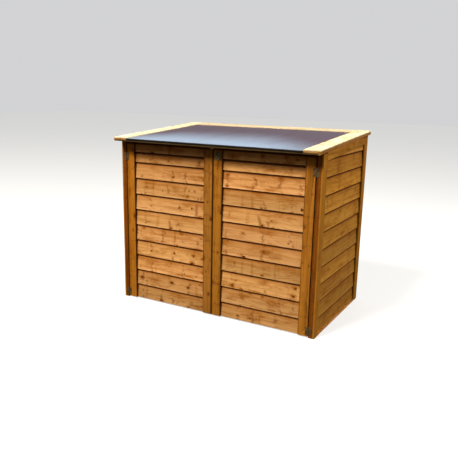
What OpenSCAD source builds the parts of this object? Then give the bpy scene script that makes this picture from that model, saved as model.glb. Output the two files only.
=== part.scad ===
// Garden storage cabinet of lapped boards: two front doors, a sloping lid hinged at the back,
// a hasp from the lid to the right-hand door, and a floor inside.
// Millimetres. X runs along the front, Y from front to back, Z up.
// The origin is on the ground, under the middle of the lid.

/* [Cabinet] */
// Width over the side panels
cabinet_w = 1500; // [1300:10:1700]
// Depth from the closed doors' front faces to the back face
cabinet_d = 880; // [760:10:980]
// Height of the lid's underside at the doors' front faces
eaves_h = 1160; // [1140:5:1180]
// Fall of the lid towards the front, in degrees
roof_slope = 3.8; // [3:0.1:5]

/* [Cladding] */
// Height of each board that shows
board_pitch = 112; // [108:1:116]
// Width by which each board laps the one below
board_lap = 13; // [8:1:18]
// Thickness of a cladding board
board_t = 7; // [6:0.5:8]
// Height of the topmost course on the doors
top_course_h = 61; // [54:1:66]

/* [Framing] */
// Width of the outer strips and door stiles
strip_w = 67; // [55:1:75]
// Thickness of the outer strips and door stiles
strip_t = 10; // [8:0.5:14]
// Width of the inner battens
batten_w = 44; // [34:1:50]
// Thickness of the inner battens
batten_t = 12; // [10:0.5:16]
// Height of the sloping rail on the outside of each side panel
slope_rail_h = 54; // [45:1:60]
// Height of the lath along the foot of each side panel
foot_lath_h = 12; // [8:1:20]
// Height of the header behind the tops of the doors
header_h = 44; // [36:1:50]
// Depth of the header, front to back
header_d = 28; // [24:1:34]
// Gap between the header and the lid
header_drop = 6; // [2:1:10]
// Height of the lower ledge above a door's foot
ledge_rise = 60; // [40:5:120]
// Distance of the upper ledge below the header
ledge_drop = 90; // [60:5:140]
// Radius of the eased edges of strips, trims and boards
arris = 1.5; // [1:0.25:2]

/* [Doors] */
// Gap between the doors, and between each door and its side panel
door_gap = 5; // [3:0.5:6]
// Height of the doors' lower edges above the ground
door_foot = 8; // [6:1:15]
// Height left free between the doors and the folded hasp
door_headroom = 8; // [3:0.5:12]

/* [Lid] */
// Overhang in front of the doors
lid_front = 76; // [75:1:85]
// Overhang beyond each side panel
lid_side = 3; // [2:0.5:8]
// Overhang behind the back face
lid_back = 54; // [40:1:65]
// Thickness of the rails and bearers under the deck
lid_rail_t = 11; // [10.5:0.5:14]
// Thickness of the deck
deck_t = 8; // [6:1:12]
// Thickness of the roofing sheet
felt_t = 1.5; // [1:0.5:3]
// Depth of the sheet's fold over the front edge
felt_fold = 12; // [8:1:14]
// Inner radius of the fold
fold_r = 3; // [2:0.5:4]
// Width of the trim boards on top
trim_w = 105; // [90:1:120]
// Thickness of the trim boards on top
trim_t = 6; // [4:0.5:12]
// Thickness of the fascia along each side
fascia_t = 10; // [8:1:14]

/* [Floor] */
// Height of the floor bearers
bearer_h = 28; // [22:1:40]
// Thickness of the floor boards
floor_t = 12; // [10:1:18]
// Number of floor boards
floor_count = 8; // [6:1:10]
// Gap between floor boards
floor_gap = 3; // [2:0.5:5]

/* [Butt hinges] */
// Length of each hinge along its pin
hinge_l = 52; // [46:1:60]
// Width of each leaf from the pin's centre
leaf_w = 20; // [19:0.5:24]
// Thickness of the leaf
leaf_t = 1.8; // [1.5:0.1:2]
// Outer radius of the knuckle
knuckle_r = 3.6; // [3.4:0.1:4]
// Radius of the hinge pin
pin_r = 1.6; // [1.4:0.1:1.8]
// Distance of the upper door hinges' centres below the doors' tops
upper_hinge_drop = 95; // [70:5:160]
// Distance of the lower door hinges' centres above the doors' feet
lower_hinge_rise = 38; // [34:1:70]
// Number of hinges on the lid
lid_hinge_count = 3; // [2:1:4]
// Distance of the outer lid hinges from the side panels
lid_hinge_inset = 120; // [60:10:200]

/* [Hasp] */
// Width of the strap, its leaf and the staple's plate
hasp_w = 34; // [32:1:40]
// Length of the strap from its pin
strap_l = 70; // [68:1:72]
// Length of the slot in the strap
slot_h = 30; // [28:1:32]
// Width of the slot in the strap
slot_w = 9; // [8:0.5:11]
// Radius of the staple's wire
staple_r = 2.3; // [2:0.1:2.6]
// Distance that the staple's eye stands out from its plate
staple_reach = 20; // [18:1:22]
// Height of the staple's plate
staple_plate_h = 52; // [50:1:58]
// Distance of the plate's centre below the staple's
plate_drop = 14; // [8:1:14]
// Distance between the staple's two legs
staple_w = 17; // [15:0.5:18]
// Distance of the slot's centre, and of the closed hasp's staple, from the strap's pin
slot_r = 48; // [46:1:50]
// Length of the leaf under the lid
hasp_leaf_l = 40; // [36:1:46]

/* [Tower bolt] */
// Radius of the bolt's rod
rod_r = 4; // [3.5:0.5:5]
// Length of the bolt's rod
rod_l = 112; // [100:1:120]
// Travel of the bolt
rod_travel = 24; // [20:1:26]
// Distance of the rod's centre line behind the door
rod_inset = 12; // [11:0.5:14]
// Gap between the header and the drawn-back rod
rod_drop = 8; // [6:1:12]
// Width of the guide
guide_w = 30; // [28:1:34]
// Length of the guide
guide_l = 104; // [98:1:108]
// Height of each of the guide's two rings
ring_h = 10; // [8:1:14]
// Length of the keep on the header
keep_w = 34; // [32:1:40]
// Width of the keep on the header
keep_d = 18; // [17:1:22]

/* [Hidden] */

// Small clearances
lap_gap = 0.2;        // between lapped boards, and between boards and their framing
joint_gap = 0.3;      // between parts of different bodies that lie close
bore_gap = 0.06;      // radial, between a pin and its bore
rod_gap = 0.3;        // radial, between the tower bolt's rod and its guides
lid_gap = 0.5;        // between the lid and the tops of the panels
stop_gap = 1.5;       // between a closed door and the header behind it
knuckle_gap = 0.4;    // between neighbouring knuckles along the pin

timber = [0.79, 0.52, 0.25];
frame_timber = [0.70, 0.43, 0.18];
pale_timber = [0.93, 0.80, 0.58];
sheet_colour = [0.30, 0.28, 0.31];
zinc = [0.62, 0.62, 0.56];

// Where things stand, front to back and up
lid_t = lid_rail_t + deck_t + felt_t + trim_t;
reach = lid_front + felt_t * cos(roof_slope) + lid_t * sin(roof_slope);
front_y = (reach - cabinet_d - lid_back) / 2;
function eaves(y) = eaves_h + y * tan(roof_slope);
hasp_r = 3.2;
door_top = eaves(-lid_front) - 2 * hasp_r - 0.2 - door_headroom;
door_full = floor((door_top - top_course_h - 35) / board_pitch);

// Lapped cladding: each board leans in at the top, and its foot stands on the face of the board below
function lean(course) = asin((board_t + lap_gap) / course);
function extra_seat(course, below) = max(0, (tan(lean(course)) - tan(lean(below))) * board_lap);
short_course = door_top - top_course_h - door_full * board_pitch;
board_seat = (board_pitch + board_lap) * sin(lean(board_pitch)) + 0.6;
clad_t = board_seat + extra_seat(short_course, board_pitch) + board_t + lap_gap;
panel_t = batten_t + clad_t + strip_t;

lid_y0 = -lid_front / cos(roof_slope);
lid_y1 = (cabinet_d + lid_back) / cos(roof_slope);
deck_z = lid_rail_t;
sheet_z = deck_z + deck_t;
trim_z = sheet_z + felt_t;

inside_w = cabinet_w - 2 * panel_t;
inside_d = cabinet_d - 2 * panel_t;
door_w = inside_w / 2 - 1.5 * door_gap;
door_x = door_gap / 2;
hinge_x = inside_w / 2 - door_gap / 2;
lid_half_w = cabinet_w / 2 + lid_side;
fascia_x = lid_half_w - fascia_t;

// Courses: the foot of each board, from the ground up
door_courses = concat(
    [door_foot], [for (k = [1:door_full]) k * board_pitch], [door_top - top_course_h]);
wall_full = floor((eaves(cabinet_d) - 40) / board_pitch);
wall_courses = [for (k = [0:wall_full]) k * board_pitch];

// One board of a course: x along it, -y outwards, its foot at height z
module lapped_board(length, z, course, seat_y, last) {
    a = lean(last ? board_pitch : course);
    run = [sin(a), cos(a)];
    out = [-cos(a), sin(a)];
    width = last ? (course - board_t * sin(a)) / cos(a) : course + board_lap;
    foot = [-seat_y, z];
    rotate([90, 0, 90]) linear_extrude(length) {
        polygon([foot, foot + width * run, foot + width * run + board_t * out,
                 foot + arris * run + board_t * out, foot + (board_t - arris) * out]);
        translate(foot + arris * run + (board_t - arris) * out) circle(r = arris, $fn = 24);
    }
}

// A stack of courses up to height top
module cladding(length, courses, top) {
    feet = concat(courses, [top]);
    function course(i) = i == len(courses) - 1 ? board_pitch : feet[i + 1] - feet[i];
    function seat_y(i) = i == 0 ? board_seat : seat_y(i - 1) + extra_seat(course(i), course(i - 1));
    for (i = [0:len(courses) - 1])
        lapped_board(length, feet[i], feet[i + 1] - feet[i], seat_y(i), i == len(courses) - 1);
}

// A strip's cross section, w by t, with its two outer edges eased; its back lies along y = 0
module eased(w, t) {
    translate([0, arris - t]) square([w, t - arris]);
    translate([arris, -t]) square([w - 2 * arris, t]);
    for (x = [arris, w - arris]) translate([x, arris - t]) circle(r = arris, $fn = 24);
}

// Frames of reference
module at_front() {
    translate([0, front_y, 0]) children();
}

// Right side panel: x runs from front to back, y = 0 is the inner face of the cladding, -y outwards
module on_right_side() {
    at_front() translate([cabinet_w / 2 - strip_t - clad_t, 0, 0]) rotate([0, 0, 90]) children();
}

module both_sides() {
    on_right_side() children();
    mirror([1, 0, 0]) on_right_side() children();
}

module on_back() {
    at_front() translate([inside_w / 2, cabinet_d - strip_t - clad_t, 0])
        rotate([0, 0, 180]) children();
}

module on_door() {
    at_front() translate([door_x, strip_t + clad_t, 0]) children();
}

module on_lid() {
    at_front() translate([0, 0, eaves_h]) rotate([roof_slope, 0, 0]) children();
}

// Under the slope of the lid, in a side panel's own frame
module below_eaves(y0, y1, z0, y_low, y_high) {
    translate([0, y_high, 0]) rotate([90, 0, 0]) linear_extrude(y_high - y_low)
        polygon([[y0, z0], [y1, z0], [y1, eaves(y1) - lid_gap], [y0, eaves(y0) - lid_gap]]);
}

// Side panels
module side_boards() {
    color(timber) intersection() {
        translate([batten_w + lap_gap, 0, 0])
            cladding(cabinet_d - 2 * (batten_w + lap_gap), wall_courses, eaves(cabinet_d) + 40);
        below_eaves(0, cabinet_d, 0, -clad_t, 0);
    }
}

module left_side_boards() { mirror([1, 0, 0]) on_right_side() side_boards(); }
module right_side_boards() { on_right_side() side_boards(); }

module side_strip(x) {
    both_sides() intersection() {
        below_eaves(x, x + strip_w, 0, -clad_t - strip_t, -clad_t);
        translate([x, -clad_t, 0]) linear_extrude(eaves(cabinet_d)) eased(strip_w, strip_t);
    }
}

module side_front_strips() { color(timber) side_strip(0); }
module side_back_strips() { color(frame_timber) side_strip(cabinet_d - strip_w); }

module side_slope_rails() {
    x0 = strip_w + lap_gap;
    x1 = cabinet_d - strip_w - lap_gap;
    color(timber) both_sides()
        translate([0, -clad_t, 0]) rotate([90, 0, 0]) linear_extrude(strip_t)
            polygon([[x0, eaves(x0) - slope_rail_h], [x1, eaves(x1) - slope_rail_h],
                     [x1, eaves(x1) - lid_gap], [x0, eaves(x0) - lid_gap]]);
}

module side_foot_laths() {
    color(pale_timber) both_sides()
        translate([strip_w + lap_gap, -clad_t - strip_t, 0])
            cube([cabinet_d - 2 * (strip_w + lap_gap), strip_t, foot_lath_h]);
}

module side_front_posts() {
    color(frame_timber) difference() {
        both_sides() below_eaves(0, batten_w, 0, -clad_t, batten_t);
        both_doors_hinges() hinge_pilots(seat);
    }
}

module side_back_posts() {
    color(frame_timber) both_sides()
        below_eaves(cabinet_d - batten_w, cabinet_d, 0, -clad_t, batten_t);
}

module side_middle_battens() {
    color(frame_timber) both_sides()
        below_eaves((cabinet_d - batten_w) / 2, (cabinet_d + batten_w) / 2, 0, 0, batten_t);
}

// Back panel, between the side panels
module back_boards() {
    top = eaves(cabinet_d - panel_t) - lid_gap;
    color(timber) on_back() translate([joint_gap, 0, 0])
        cladding(inside_w - 2 * joint_gap, wall_courses, top);
}

back_strip_top = eaves(cabinet_d - strip_t) - lid_gap;
back_rail_z = back_strip_top - strip_w;

module back_strips() {
    color(frame_timber) on_back()
        for (x = [lap_gap, (inside_w - strip_w) / 2, inside_w - strip_w - lap_gap])
            translate([x, -clad_t, 0]) linear_extrude(back_rail_z) eased(strip_w, strip_t);
}

module back_top_rail() {
    color(frame_timber) difference() {
        on_back() translate([lap_gap, -clad_t - strip_t, back_rail_z])
            cube([inside_w - 2 * lap_gap, strip_t, strip_w]);
        lid_hinges() on_back_face() hinge_pilots(seat);
    }
}

module back_battens() {
    top = eaves(cabinet_d - panel_t) - lid_gap;
    color(frame_timber) on_back()
        for (x = [lap_gap, (inside_w - batten_w) / 2, inside_w - batten_w - lap_gap])
            translate([x, 0, 0]) cube([batten_w, batten_t, top]);
}

// Floor, between the panels
module floor_bearers() {
    y0 = panel_t + header_d;
    span = cabinet_d - 2 * y0;
    outer_x = (inside_w - batten_w) / 2 - lap_gap;
    color(frame_timber) at_front()
        for (x = [-outer_x, 0, outer_x])
            translate([x - batten_w / 2, y0, 0]) cube([batten_w, span, bearer_h]);
}

module floor_boards() {
    y0 = panel_t + stop_gap;
    floor_d = cabinet_d - panel_t - y0 - lap_gap;
    board = (floor_d + floor_gap) / floor_count;
    color(timber) at_front()
        for (i = [0:floor_count - 1])
            translate([joint_gap - inside_w / 2, y0 + i * board, bearer_h])
                rotate([180, 0, 0]) rotate([90, 0, 90]) linear_extrude(inside_w - 2 * joint_gap)
                    mirror([1, 0]) eased(board - floor_gap, floor_t);
}

// Header behind the doors' top edges, bored for the tower bolt
rod_y = panel_t + rod_inset;
rod_x = -door_x - batten_w / 2;
header_top = eaves(panel_t) - lid_gap - header_drop;
header_z = header_top - header_h;

module front_header() {
    color(frame_timber) difference() {
        at_front() translate([lap_gap - inside_w / 2, panel_t + stop_gap, header_z])
            cube([inside_w - 2 * lap_gap, header_d, header_h]);
        at_front() translate([rod_x, rod_y, header_z - 1])
            cylinder(r = rod_r + rod_gap, h = rod_travel + 1, $fn = 48);
        keep_screws() pilot();
    }
}

// Doors, drawn as the right-hand one: x from the meeting edge to the hinge edge
module door_boards() {
    color(timber) translate([lap_gap, 0, 0])
        cladding(door_w - 2 * lap_gap, door_courses, door_top);
}

module door_stile(x) {
    translate([x, -clad_t, door_foot]) linear_extrude(door_top - door_foot) eased(strip_w, strip_t);
}

module right_hinge_stile() {
    difference() {
        on_door() door_stile(door_w - strip_w);
        door_hinges() mirror([1, 0, 0]) hinge_pilots(seat);
    }
}

module door_inner_stiles() {
    color(frame_timber) for (x = [0, door_w - batten_w])
        translate([x, 0, door_foot]) cube([batten_w, batten_t, door_top - door_foot]);
}

ledge_z = [door_foot + ledge_rise, header_z - batten_w - ledge_drop];

module door_ledges() {
    color(frame_timber) for (z = ledge_z)
        translate([batten_w + lap_gap, 0, z])
            cube([door_w - 2 * (batten_w + lap_gap), batten_t, batten_w]);
}

module door_middle_batten() {
    z0 = ledge_z[0] + batten_w + lap_gap;
    color(frame_timber) translate([(door_w - batten_w) / 2, 0, z0])
        cube([batten_w, batten_t, ledge_z[1] - lap_gap - z0]);
}

module left_door_frame() { mirror([1, 0, 0]) on_door() children(); }

module left_door_boards() { left_door_frame() door_boards(); }
module left_door_hinge_stile() { color(frame_timber) mirror([1, 0, 0]) right_hinge_stile(); }
module left_door_meeting_stile() { color(frame_timber) left_door_frame() door_stile(0); }
module left_door_inner_stiles() {
    color(frame_timber) difference() {
        left_door_frame() door_inner_stiles();
        guide_screws() pilot();
    }
}
module left_door_ledges() { left_door_frame() door_ledges(); }
module left_door_middle_batten() { left_door_frame() door_middle_batten(); }
module right_door_boards() { on_door() door_boards(); }
module right_door_hinge_stile() { color(frame_timber) right_hinge_stile(); }
module right_door_meeting_stile() {
    color(frame_timber) difference() {
        on_door() door_stile(0);
        staple_screws() pilot();
    }
}
module right_door_inner_stiles() { on_door() door_inner_stiles(); }
module right_door_ledges() { on_door() door_ledges(); }
module right_door_middle_batten() { on_door() door_middle_batten(); }

// Lid, in its own plane: y along the slope, z = 0 is its underside
module lid_board(x0, x1, y0, y1, z, t) {
    translate([x0, y0, z]) cube([x1 - x0, y1 - y0, t]);
}

module lid_front_rail() {
    color(timber) difference() {
        on_lid() lid_board(-fascia_x, fascia_x, lid_y0, lid_y0 + strip_w, 0, lid_rail_t);
        hasp_screws() pilot();
    }
}

module lid_back_rail() {
    color(timber) difference() {
        on_lid() lid_board(-fascia_x, fascia_x, lid_y1 - strip_w, lid_y1, 0, lid_rail_t);
        lid_hinges() on_lid_back() hinge_pilots(seat);
    }
}

module lid_side_rails() {
    color(timber) on_lid() for (s = [0, 1]) mirror([s, 0, 0])
        lid_board(fascia_x - strip_w, fascia_x, lid_y0 + strip_w + lap_gap,
                  lid_y1 - strip_w - lap_gap, 0, lid_rail_t);
}

module lid_bearers() {
    third = (fascia_x - strip_w) / 3;
    color(timber) on_lid() for (x = [-third, third])
        lid_board(x - batten_w / 2, x + batten_w / 2, lid_y0 + strip_w + lap_gap,
                  lid_y1 - strip_w - lap_gap, 0, lid_rail_t);
}

// The deck's front edge is rounded where the sheet is folded over it
fold_x = lid_half_w - trim_w - lap_gap;

module lid_deck() {
    color(timber) on_lid() {
        lid_board(-fascia_x, fascia_x, lid_y0 + fold_r, lid_y1, deck_z, deck_t);
        lid_board(-fascia_x, fascia_x, lid_y0, lid_y0 + fold_r, deck_z, deck_t - fold_r);
        translate([-fascia_x, lid_y0 + fold_r, sheet_z - fold_r]) rotate([0, 90, 0])
            cylinder(r = fold_r, h = 2 * fascia_x, $fn = 48);
    }
}

// The sheet covers the deck, and is folded down over its front edge between the side trims
module lid_roofing_sheet() {
    turn_y = lid_y0 + fold_r;
    color(sheet_colour) on_lid() {
        lid_board(-fascia_x, fascia_x, turn_y, lid_y1, sheet_z, felt_t);
        translate([-fold_x, turn_y, sheet_z - fold_r]) rotate([90, 0, 90])
            linear_extrude(2 * fold_x) {
                intersection() {
                    difference() {
                        circle(r = fold_r + felt_t, $fn = 48);
                        circle(r = fold_r, $fn = 48);
                    }
                    translate([-fold_r - felt_t, 0]) square(fold_r + felt_t);
                }
                translate([-fold_r - felt_t, fold_r + felt_t - felt_fold])
                    square([felt_t, felt_fold - fold_r - felt_t]);
            }
    }
}

module lid_side_trims() {
    color(pale_timber) on_lid() for (s = [0, 1]) mirror([s, 0, 0])
        translate([lid_half_w, lid_y0 - felt_t, trim_z]) rotate([0, 0, 180]) rotate([90, 0, 0])
            linear_extrude(lid_y1 - lid_y0 + felt_t) mirror([0, 1]) eased(trim_w, trim_t);
}

module lid_back_trim() {
    color(pale_timber) on_lid() translate([-fold_x, lid_y1, trim_z]) rotate([90, 0, 90])
        linear_extrude(2 * fold_x) mirror([1, 0]) mirror([0, 1]) eased(trim_w, trim_t);
}

module lid_fascias() {
    color(timber) on_lid() for (s = [0, 1]) mirror([s, 0, 0])
        translate([fascia_x, lid_y1, 0]) rotate([90, 0, 0]) linear_extrude(lid_y1 - lid_y0 + felt_t)
            rotate(90) eased(trim_z, fascia_t);
}

// Butt hinge. The pin lies along z, the leaf's face on y = 0, and the leaf runs towards +x.
// Turns of the knuckle are numbered from below: the outer two belong to one leaf, the middle to the other.
screw_r = 1.7;
screw_head_r = 3.3;
screw_l = 9;
screw_gap = 0.06;     // radial, between a screw and its hole in the timber
function hinge_screw_z() = [-hinge_l / 2 + 10, hinge_l / 2 - 10];
screw_x = leaf_w * 0.62;

module knuckle(turn) {
    h = hinge_l / 3;
    z = -hinge_l / 2 + turn * h;
    translate([0, 0, z + knuckle_gap / 2]) cylinder(r = knuckle_r, h = h - knuckle_gap, $fn = 48);
}

module hinge_leaf(turns, sunk) {
    difference() {
        union() {
            for (turn = turns) {
                knuckle(turn);
                translate([0, sunk - leaf_t, -hinge_l / 2 + turn * hinge_l / 3 + knuckle_gap / 2])
                    cube([knuckle_r + 1, leaf_t, hinge_l / 3 - knuckle_gap]);
            }
            translate([knuckle_r + 0.6, sunk - leaf_t, -hinge_l / 2])
                cube([leaf_w - knuckle_r - 0.6, leaf_t, hinge_l]);
        }
        translate([0, 0, -hinge_l / 2 - 1])
            cylinder(r = pin_r + bore_gap, h = hinge_l + 2, $fn = 48);
        hinge_screw_places(sunk) countersink();
    }
}

// Holes through a plate of thickness leaf_t for its countersunk screws
module countersink() {
    translate([0, 0, -1]) cylinder(r = screw_r + 0.15, h = leaf_t + 2, $fn = 32);
    cylinder(r1 = screw_r + 0.15, r2 = screw_head_r + 0.1, h = leaf_t + 0.01, $fn = 32);
}

// Places of a leaf's screws, with the wood below z = 0
module hinge_screw_places(sunk) {
    for (z = hinge_screw_z()) translate([screw_x, sunk, z]) rotate([90, 0, 0]) children();
}

module hinge_screws(sunk) { hinge_screw_places(sunk) wood_screw(); }
module hinge_pilots(sunk) { hinge_screw_places(sunk) pilot(); }

// A countersunk wood screw whose head lies in a plate of thickness leaf_t on the wood at z = 0
module wood_screw() {
    tip = 3;
    translate([0, 0, -screw_l]) cylinder(r1 = 0.4, r2 = screw_r, h = tip, $fn = 32);
    translate([0, 0, tip - screw_l]) cylinder(r = screw_r, h = screw_l - tip, $fn = 32);
    difference() {
        cylinder(r1 = screw_r, r2 = screw_head_r, h = leaf_t - 0.1, $fn = 32);
        translate([-screw_head_r, -0.4, leaf_t - 0.7]) cube([2 * screw_head_r, 0.8, 1]);
    }
}

module pilot() {
    translate([0, 0, -screw_l - 0.3]) cylinder(r = screw_r + screw_gap, h = screw_l + 0.4, $fn = 32);
}

module hinge_pin() {
    translate([0, 0, -hinge_l / 2]) cylinder(r = pin_r, h = hinge_l, $fn = 48);
    translate([0, 0, hinge_l / 2 + 0.2]) cylinder(r = pin_r + 1, h = 1.2, $fn = 48);
    translate([0, 0, hinge_l / 2 - 0.5]) cylinder(r = pin_r, h = 1, $fn = 48);
}

// A leaf's face stands this far from the pin's centre, so that it lies flat on the timber
seat = knuckle_r;

module door_hinges() {
    at_front() for (z = [door_foot + lower_hinge_rise, door_top - upper_hinge_drop])
        translate([hinge_x, -seat, z]) children();
}

module both_doors_hinges() {
    door_hinges() children();
    mirror([1, 0, 0]) door_hinges() children();
}

module door_hinge_frame_leaves() {
    color(zinc) both_doors_hinges() hinge_leaf([0, 2], seat);
}

module door_hinge_pins() {
    color(zinc) both_doors_hinges() hinge_pin();
}

module left_door_hinge_leaves() {
    color(zinc) mirror([1, 0, 0]) door_hinges() mirror([1, 0, 0]) hinge_leaf([1], seat);
}

module right_door_hinge_leaves() {
    color(zinc) door_hinges() mirror([1, 0, 0]) hinge_leaf([1], seat);
}

// Lid hinges, on the outer face of the back rail and under the lid's back overhang
lid_pin_y = cabinet_d + seat;
lid_pin_z = eaves(cabinet_d + seat) - seat - 0.2;
lid_hinge_step = (inside_w - 2 * lid_hinge_inset) / (lid_hinge_count - 1);

module lid_hinges() {
    at_front() for (i = [0:lid_hinge_count - 1])
        translate([lid_hinge_inset - inside_w / 2 + i * lid_hinge_step, lid_pin_y, lid_pin_z])
            children();
}

module on_back_face() { rotate([0, 90, 0]) mirror([0, 1, 0]) children(); }

module on_lid_back() {
    rotate([roof_slope, 0, 0]) rotate([0, -90, 0]) rotate([0, 0, 90]) mirror([0, 1, 0]) children();
}

module lid_hinge_fixed_leaves() {
    color(zinc) lid_hinges() on_back_face() hinge_leaf([0, 2], seat);
}

module lid_hinge_lid_leaves() {
    color(zinc) lid_hinges() on_lid_back() hinge_leaf([1], seat);
}

module lid_hinge_pins() {
    color(zinc) lid_hinges() rotate([0, 90, 0]) hinge_pin();
}

// Screws, grouped by what they turn with
module cabinet_screws() {
    color(zinc) {
        both_doors_hinges() hinge_screws(seat);
        lid_hinges() on_back_face() hinge_screws(seat);
        keep_screws() wood_screw();
    }
}

module left_door_screws() {
    color(zinc) {
        mirror([1, 0, 0]) door_hinges() mirror([1, 0, 0]) hinge_screws(seat);
        guide_screws() wood_screw();
    }
}

module right_door_screws() {
    color(zinc) {
        door_hinges() mirror([1, 0, 0]) hinge_screws(seat);
        staple_screws() wood_screw();
    }
}

module lid_screws() {
    color(zinc) {
        lid_hinges() on_lid_back() hinge_screws(seat);
        hasp_screws() wood_screw();
    }
}

// Hasp: a leaf under the lid's front rail, a strap hinged to it, and a staple on the door.
// The strap is folded up under the lid, clear of the staple, so that lid and doors are free.
hasp_turn = hasp_w / 3;
strap_gap = 0.8;
hasp_x = door_x + strip_w / 2;
hasp_y = -leaf_t - strap_gap - hasp_r;
hasp_z = eaves(hasp_y) - hasp_r - 0.2;
staple_half = staple_w / 2;
plate_corner = 5;
leaf_screw_y = -0.62 * hasp_leaf_l;

module at_hasp() {
    at_front() translate([hasp_x, hasp_y, hasp_z]) children();
}

module at_staple() {
    at_front() translate([hasp_x, 0, hasp_z - slot_r]) children();
}

// The plate hangs a little lower than its staple, and has a screw near each corner
module staple_screws() {
    at_staple() for (x = [-1, 1], z = [-1, 1])
        translate([x * (hasp_w / 2 - 6), 0, z * (staple_plate_h / 2 - 7) - plate_drop])
            rotate([90, 0, 0]) children();
}

module hasp_screws() {
    at_hasp() rotate([roof_slope, 0, 0]) for (x = [-1, 1])
        translate([x * (hasp_w / 2 - 8), leaf_screw_y, hasp_r]) rotate([180, 0, 0]) children();
}

module hasp_barrel(turn) {
    translate([-hasp_w / 2 + turn * hasp_turn + knuckle_gap / 2, 0, 0]) rotate([0, 90, 0])
        cylinder(r = hasp_r, h = hasp_turn - knuckle_gap, $fn = 48);
}

module hasp_bore() {
    translate([-hasp_w / 2 - 1, 0, 0]) rotate([0, 90, 0])
        cylinder(r = pin_r + bore_gap, h = hasp_w + 2, $fn = 48);
}

module hasp_leaf() {
    color(zinc) difference() {
        at_hasp() rotate([roof_slope, 0, 0]) difference() {
            union() {
                for (turn = [0, 2]) {
                    hasp_barrel(turn);
                    translate([-hasp_w / 2 + turn * hasp_turn + knuckle_gap / 2, -hasp_r - 1,
                               hasp_r - leaf_t])
                        cube([hasp_turn - knuckle_gap, hasp_r + 1, leaf_t]);
                }
                translate([-hasp_w / 2, -hasp_leaf_l, hasp_r - leaf_t])
                    cube([hasp_w, hasp_leaf_l - hasp_r - 0.6, leaf_t]);
            }
            hasp_bore();
        }
        hasp_screws() countersink();
    }
}

module hasp_pin() {
    color(zinc) at_hasp() translate([-hasp_w / 2, 0, 0]) rotate([0, 90, 0])
        cylinder(r = pin_r, h = hasp_w, $fn = 48);
}

// The strap's outline, y from the pin to its round end
module strap_outline() {
    corner = hasp_w / 3;
    translate([-hasp_w / 2, hasp_r + 0.6]) square([hasp_w, strap_l - corner - hasp_r - 0.6]);
    translate([corner - hasp_w / 2, strap_l - corner - 1]) square([hasp_w - 2 * corner, corner + 1]);
    for (x = [-1, 1]) translate([x * (hasp_w / 2 - corner), strap_l - corner])
        circle(r = corner, $fn = 48);
}

module hasp_strap() {
    slot_half = (slot_h - slot_w) / 2;
    color(zinc) at_hasp() rotate([roof_slope, 0, 0]) mirror([0, 1, 0]) difference() {
        union() {
            hasp_barrel(1);
            translate([-hasp_turn / 2 + knuckle_gap / 2, 0, -hasp_r])
                cube([hasp_turn - knuckle_gap, hasp_r + 1, leaf_t]);
            translate([0, 0, -hasp_r]) linear_extrude(leaf_t) difference() {
                strap_outline();
                translate([-slot_w / 2, slot_r - slot_half]) square([slot_w, 2 * slot_half]);
                for (s = [-1, 1]) translate([0, slot_r + s * slot_half])
                    circle(r = slot_w / 2, $fn = 48);
            }
        }
        hasp_bore();
    }
}

module hasp_staple() {
    eye_y = staple_reach - staple_half - staple_r;
    color(zinc) difference() {
        at_staple() {
            translate([0, 0, -plate_drop]) rotate([90, 0, 0]) linear_extrude(leaf_t) staple_plate();
            for (z = [-1, 1]) translate([0, -leaf_t / 2, z * staple_half]) rotate([90, 0, 0])
                cylinder(r = staple_r, h = eye_y + leaf_t / 2, $fn = 48);
            translate([0, -leaf_t - eye_y, 0]) rotate([0, 90, 0]) rotate([0, 0, 180])
                rotate_extrude(angle = 180, $fn = 48)
                    translate([staple_half, 0]) circle(r = staple_r, $fn = 48);
        }
        staple_screws() countersink();
    }
}

module staple_plate() {
    w = hasp_w / 2 - plate_corner;
    h = staple_plate_h / 2 - plate_corner;
    for (x = [-w, w], y = [-h, h]) translate([x, y]) circle(r = plate_corner, $fn = 48);
    square([2 * w, 2 * h + 2 * plate_corner], center = true);
    square([2 * w + 2 * plate_corner, 2 * h], center = true);
}

// Tower bolt inside the left-hand door, drawn back so that the door is free
rod_top = header_z - rod_drop;
guide_z = rod_top - guide_l + 2;
ring_z = [6, guide_l - ring_h - 6];
knob_z = guide_z + guide_l / 2 - rod_travel / 2;

guide_screw_x = guide_w / 2 - 5;

module guide_screws() {
    at_front() for (x = [-1, 1], z = [0.3, 0.7])
        translate([rod_x + x * guide_screw_x, panel_t, guide_z + z * guide_l]) rotate([-90, 0, 0])
            children();
}

module keep_screws() {
    at_front() for (x = [-1, 1]) translate([rod_x + x * (keep_w / 2 - 5), rod_y, header_z])
        rotate([180, 0, 0]) children();
}

module bolt_guide() {
    reach = rod_y - panel_t;
    color(zinc) difference() {
        at_front() translate([rod_x, panel_t, guide_z]) difference() {
            union() {
                translate([-guide_w / 2, 0, 0]) cube([guide_w, leaf_t, guide_l]);
                for (z = ring_z) translate([0, 0, z]) {
                    translate([0, reach, 0]) cylinder(r = rod_r + 2.5, h = ring_h, $fn = 48);
                    translate([-rod_r - 2.5, leaf_t / 2, 0])
                        cube([2 * rod_r + 5, reach - leaf_t / 2, ring_h]);
                }
            }
            translate([0, reach, -1]) cylinder(r = rod_r + bore_gap, h = guide_l + 2, $fn = 48);
        }
        guide_screws() countersink();
    }
}

module bolt_keep() {
    color(zinc) difference() {
        at_front() translate([rod_x - keep_w / 2, rod_y - keep_d / 2, header_z - leaf_t])
            cube([keep_w, keep_d, leaf_t]);
        at_front() translate([rod_x, rod_y, header_z - leaf_t - 1])
            cylinder(r = rod_r + rod_gap, h = leaf_t + 2, $fn = 48);
        keep_screws() countersink();
    }
}

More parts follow.
